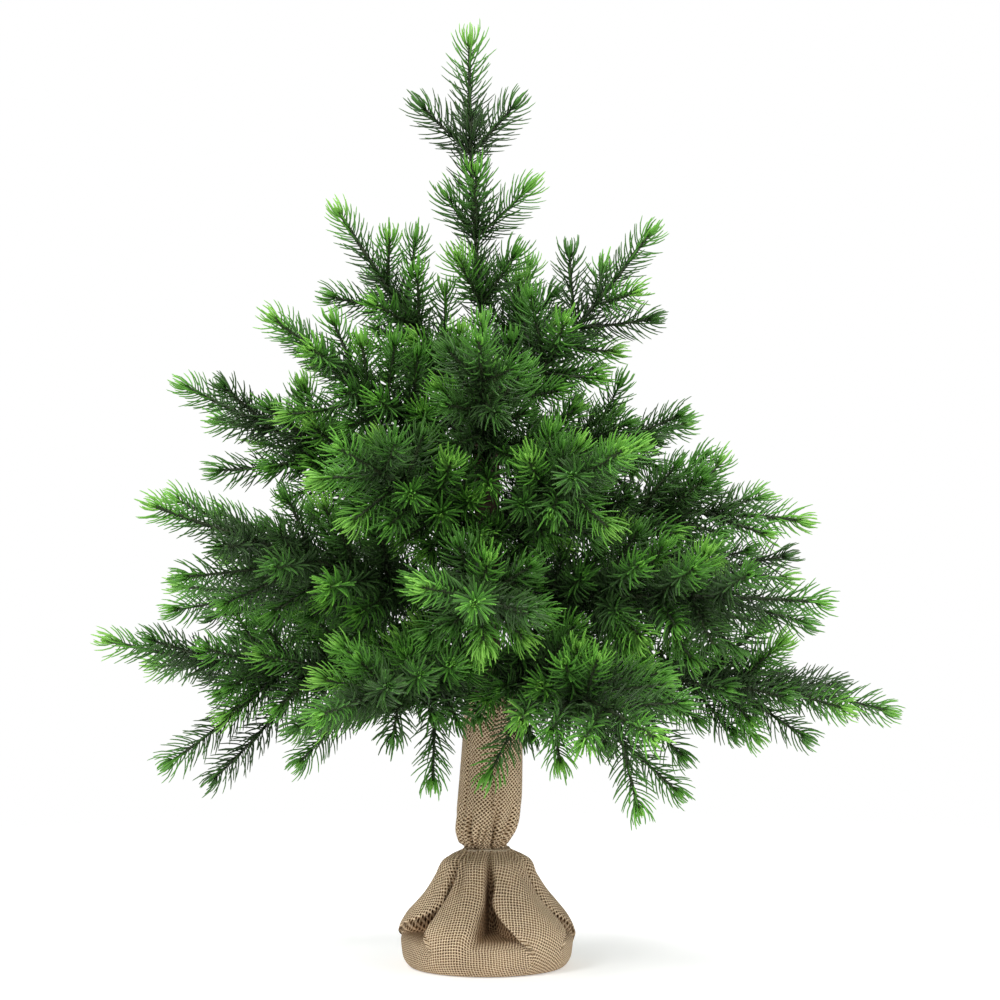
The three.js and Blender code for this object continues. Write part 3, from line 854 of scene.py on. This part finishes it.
def sleeve_folds(radius, height, level, degrees):
    """Gathers at the tie, creases up the sleeve, a lapped edge, and soft unevenness."""
    rng = np.random.default_rng(CLOTH_SEED)
    azimuth = np.radians(degrees)
    gather = np.exp(-((level - TIE_ROW) / GATHER_HEIGHT) ** 2)
    for count, weight in PLEATS:
        pleat = np.cos(azimuth * count + rng.uniform(*PHASES) + 0.15 * level)
        radius = radius + weight * pleat * gather
    below = CREASE_BELOW * np.exp(-((level - TIE_ROW + 1.6) / GATHER_HEIGHT) ** 2)
    for centre, depth, half, fade in CREASES:
        off = around_from(degrees + CREASE_SWAY * np.sin(level * 1.7 + centre), centre)
        notch = np.exp(-(off / half) ** 2)
        rise = smooth(level - TIE_ROW + 0.2)
        rise = rise * (1 - smooth((level - CREASE_FADE) / (fade - CREASE_FADE)))
        radius = radius - depth * notch * (rise + below)
    off = around_from(degrees, BULGE_AZIMUTH) / BULGE_WIDTH
    radius = radius + BULGE * np.exp(-off ** 2 - ((level - BULGE_LEVEL) / 0.9) ** 2)
    off = around_from(degrees + 3 * np.sin(level * 1.1), LAP_AZIMUTH)
    lap = (smooth((off + 1.2) / 2.4) - smooth((off - 14) / 22)) * smooth((level - 12.4) / 1.2)
    radius = radius + LAP_HEIGHT * lap
    for count, weight in UNEVENNESS:
        phase = rng.uniform(*PHASES) + level * rng.uniform(0.3, 0.9)
        radius = radius + weight * np.cos(azimuth * count + phase) * smooth((level - 3) / 2)
    frill = sum(weight * np.cos(azimuth * count + phase) for count, weight, phase in FRILL)
    height = height + frill * smooth((level - 14.6) / 1.4)
    return radius, height


def cloth_patches():
    """The first column, the middle column and the threads' turn of each part of the cloth."""
    patches = []
    for i, (opening, fold_angle) in enumerate(zip(OPENINGS, FOLD_ANGLES)):
        left, right = opening[4:]
        root = i * COLUMNS + EDGE_COLUMNS
        if min(left, right) > CLEAR_OVERHANG:
            patches.append((root, root + FLOOR_COLUMNS // 2, FLOOR_ANGLE))
        fold = (i + 1) * COLUMNS - FOLD_COLUMNS // 2
        patches.append((root + FLOOR_COLUMNS * (right > CLEAR_OVERHANG), fold, fold_angle))
    return np.array(patches).T


def weave_uv(burlap, points, turn, crown):
    """Thread coordinates. Each fold is a flat panel, unrolled from its cone, turned its own way."""
    starts, middles, angles = cloth_patches()
    number = np.arange(AROUND)
    patch = (np.searchsorted(starts, number, side="right") - 1) % len(starts)
    column = middles[patch]
    wrapped = number < starts[0]

    # How far each point lies from its patch's middle: past the folds, and along the cloth.
    widths = np.linalg.norm(np.roll(points, -1, axis=1) - points, axis=2) / MM
    reach = np.cumsum(widths, axis=1) - widths
    drawn = reach + widths.sum(axis=1)[:, None] * wrapped - reach[:, column]
    arc = crown[:, :1] * (turn + 2 * math.pi * wrapped - turn[:, column])
    arc = arc + (drawn - arc) * TRUE_ARC

    # The folds are a cone that opens out flat. Under the rim the threads keep the rim's curve.
    run = np.concatenate([[0], np.cumsum(np.linalg.norm(np.diff(crown, axis=0), axis=1))])
    rows = np.arange(ALONG)[:, None]
    tie_row, rim_row = (round(row / (len(CROWN) - 1) * (ALONG - 1)) for row in (TIE_ROW, RIM_ROW))
    slope = (crown[rim_row, 0] - crown[tie_row, 0]) / (run[tie_row] - run[rim_row])
    slant = (crown[tie_row, 0] / slope + run[tie_row] - run)[:, None]
    band = rows < rim_row
    across = np.where(band, arc, slant * np.sin(arc / slant))
    along = np.where(band, slant - slant[rim_row] * (1 - np.cos(arc / slant[rim_row])),
                     slant * np.cos(arc / slant))

    # The sleeve is one panel that starts and ends at the lap.
    lap = np.argmin(np.abs(np.degrees(turn[-1]) - LAP_AZIMUTH))
    around = turn - turn[:, lap:lap + 1] + 2 * math.pi * (number < lap)
    sleeve = rows > tie_row
    across = np.where(sleeve, SLEEVE_RADIUS * around, across)
    along = np.where(sleeve, slant, along)
    angle = np.radians(np.where(sleeve, SLEEVE_ANGLE, angles[patch][None, :]))
    pitch = THREAD_PITCH / MM
    u = (across * np.cos(angle) - along * np.sin(angle)) / pitch
    v = (across * np.sin(angle) + along * np.cos(angle)) / pitch
    step = (widths / pitch)[..., None] * np.stack([np.cos(angle), np.sin(angle)], -1)

    # A face that crosses a seam carries on the threads of the panel on its left.
    index = np.zeros(len(burlap.data.loops), np.int32)
    burlap.data.loops.foreach_get("vertex_index", index)
    corner = index.reshape(-1, 4)[:, 0]
    uv = np.stack([u, v], -1).reshape(-1, 2)[index].reshape(-1, 4, 2)
    step = step.reshape(-1, 2)[index].reshape(-1, 4, 2)
    parted = np.isin(corner % AROUND, starts - 1) & (corner // AROUND < tie_row)
    seam = parted | (np.abs(uv[:, 0] - uv[:, 1]).max(1) > LARGEST_STEP)
    uv[seam, 1] = uv[seam, 0] + step[seam, 0]
    uv[seam, 2] = uv[seam, 3] + step[seam, 3]
    layer = burlap.data.uv_layers.new(name="weave")
    layer.data.foreach_set("uv", uv.astype(np.float32).ravel())


def apply_modifiers(piece):
    """Makes what a piece's modifiers show its own mesh."""
    bpy.context.view_layer.update()
    evaluated = piece.evaluated_get(bpy.context.evaluated_depsgraph_get())
    mesh = bpy.data.meshes.new_from_object(evaluated)
    piece.modifiers.clear()
    piece.data = mesh


STRAND_RADIUS, TIE_TWIST_RADIUS, TIE_WAVE = 0.5 * MM, 0.36 * MM, 0.4 * MM
TIE_INSET = 2.0 * MM  # how far inside the CAD's outline the line runs, sunk in the gathers
TIE_TWISTS, TIE_STEPS = 26, 360


def make_tie():
    """The line tied round the neck: two strands twisted together."""
    low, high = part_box("neck_tie")
    middle = (low.z + high.z) / 2
    ring = (high.x - low.x) / 2 - TIE_INSET
    strands = []
    for strand in (0, math.pi):
        path = []
        for i in range(TIE_STEPS + 1):
            angle = i / TIE_STEPS * 2 * math.pi
            twist = angle * TIE_TWISTS + strand
            r = ring + TIE_TWIST_RADIUS * math.cos(twist)
            z = middle + TIE_TWIST_RADIUS * math.sin(twist) + TIE_WAVE * math.sin(3 * angle)
            path.append((r * math.cos(angle), r * math.sin(angle), z))
        strands.append(tube(path, np.full(len(path), STRAND_RADIUS)))
    points, faces = joined(strands)
    tie = new_mesh("neck_line", points, faces)
    tie.data.materials.append(plain_material(
        "tie_line", (0.36, 0.28, 0.18), (0.62, 0.52, 0.38), 900, 0.7))
    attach(tie, "base")
    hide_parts("neck_tie")


def finish_hidden_parts():
    """Materials of the CAD nodes that stay: the pad, the cup, the weight and the rod."""
    finishes = {
        "foot_pad": plain_material("felt", (0.12, 0.10, 0.08), (0.20, 0.17, 0.13), 400, 0.95),
        "weight_cup": plain_material("cup", (0.02, 0.02, 0.02), (0.035, 0.035, 0.035), 90, 0.5),
        "cast_weight": plain_material("cement", (0.34, 0.33, 0.31), (0.52, 0.5, 0.47), 160, 0.9),
        "trunk_rod": plain_material("steel", (0.42, 0.43, 0.44), (0.6, 0.6, 0.61), 200, 0.35,
                                    Metallic=1.0),
    }
    for node, material in finishes.items():
        mesh = frame["nodes"][node].data
        mesh.materials.clear()
        mesh.materials.append(material)


# Stage -------------------------------------------------------------------------------------

FLOOR_HALF = 6
FLOOR_GLOW = 0.3
FLOOR_FADE = (0.25, 0.9)  # the floor thins out to nothing between these distances
SKY_LIGHT = 0.68  # the surround lights the tree less brightly than it looks
# Area lights: name, place, power in watts and size.
LIGHTS = [
    ("key", (-1.3, -1.5, 1.8), 36, 0.8), ("fill", (1.5, -1.3, 0.8), 12, 1.2),
    ("top", (0.2, 0.2, 1.9), 20, 0.9),
]
LIGHT_AIM = (0, 0, 0.3)
CAMERA_DISTANCE = 1.8
VIEW_WIDTH = 0.6455  # what the picture spans at the trunk
SENSOR = 36  # in millimetres
CAMERA_LENS = SENSOR * CAMERA_DISTANCE / VIEW_WIDTH
CAMERA_PLACE = (0.0084, -CAMERA_DISTANCE, 0.300)


def make_floor():
    """A pale floor that catches the shadow and fades into the surround."""
    half = FLOOR_HALF
    corners = [(-half, -half, 0), (half, -half, 0), (half, half, 0), (-half, half, 0)]
    floor = new_mesh("floor", corners, [(0, 1, 2, 3)])
    n = Nodes("floor")
    n.shader.inputs["Base Color"].default_value = (0.93, 0.93, 0.93, 1)
    n.shader.inputs["Roughness"].default_value = 0.9
    n.shader.inputs["Emission Color"].default_value = (1, 1, 1, 1)
    n.shader.inputs["Emission Strength"].default_value = FLOOR_GLOW
    distance = n.add("ShaderNodeVectorMath", operation="LENGTH")
    n.link(n.add("ShaderNodeTexCoord").outputs["Object"], distance.inputs[0])
    fade = n.add("ShaderNodeMapRange", interpolation_type="SMOOTHSTEP")
    fade.inputs["From Min"].default_value, fade.inputs["From Max"].default_value = FLOOR_FADE
    n.link(distance.outputs["Value"], fade.inputs["Value"])
    mixed = n.add("ShaderNodeMixShader")
    n.link(fade.outputs["Result"], mixed.inputs[0])
    n.link(n.shader.outputs[0], mixed.inputs[1])
    n.link(n.add("ShaderNodeBsdfTransparent").outputs[0], mixed.inputs[2])
    n.link(mixed.outputs[0], n.tree.nodes["Material Output"].inputs["Surface"])
    floor.data.materials.append(n.material)


def make_surround():
    """A white surround that looks brighter to the camera than it is to the tree."""
    world = bpy.data.worlds.new("studio")
    world.use_nodes = True
    tree = world.node_tree
    sky = tree.nodes["Background"]
    seen = tree.nodes.new("ShaderNodeLightPath").outputs["Is Camera Ray"]
    brightness = tree.nodes.new("ShaderNodeMapRange")
    brightness.inputs["To Min"].default_value = SKY_LIGHT
    brightness.inputs["To Max"].default_value = 1.0
    tree.links.new(seen, brightness.inputs["Value"])
    tree.links.new(brightness.outputs["Result"], sky.inputs["Strength"])
    sky.inputs["Color"].default_value = (1, 1, 1, 1)
    bpy.context.scene.world = world
    bpy.context.scene.view_settings.view_transform = "Standard"


def add_light(name, place, watts, size):
    light = bpy.data.lights.new(name, "AREA")
    light.energy = watts
    light.size = size
    made = bpy.data.objects.new(name, light)
    bpy.context.scene.collection.objects.link(made)
    made.location = place
    aim = Vector(LIGHT_AIM) - Vector(place)
    made.rotation_euler = aim.to_track_quat("-Z", "Y").to_euler()


def make_camera():
    """The camera, level with the middle of the tree."""
    lens = bpy.data.cameras.new("camera")
    lens.lens = CAMERA_LENS
    camera = bpy.data.objects.new("camera", lens)
    bpy.context.scene.collection.objects.link(camera)
    camera.location = CAMERA_PLACE
    camera.rotation_euler = (math.pi / 2, 0, 0)
    bpy.context.scene.camera = camera


make_foliage()
make_trunk()
make_burlap()
make_tie()
finish_hidden_parts()
make_floor()
make_surround()
for light in LIGHTS:
    add_light(*light)
make_camera()
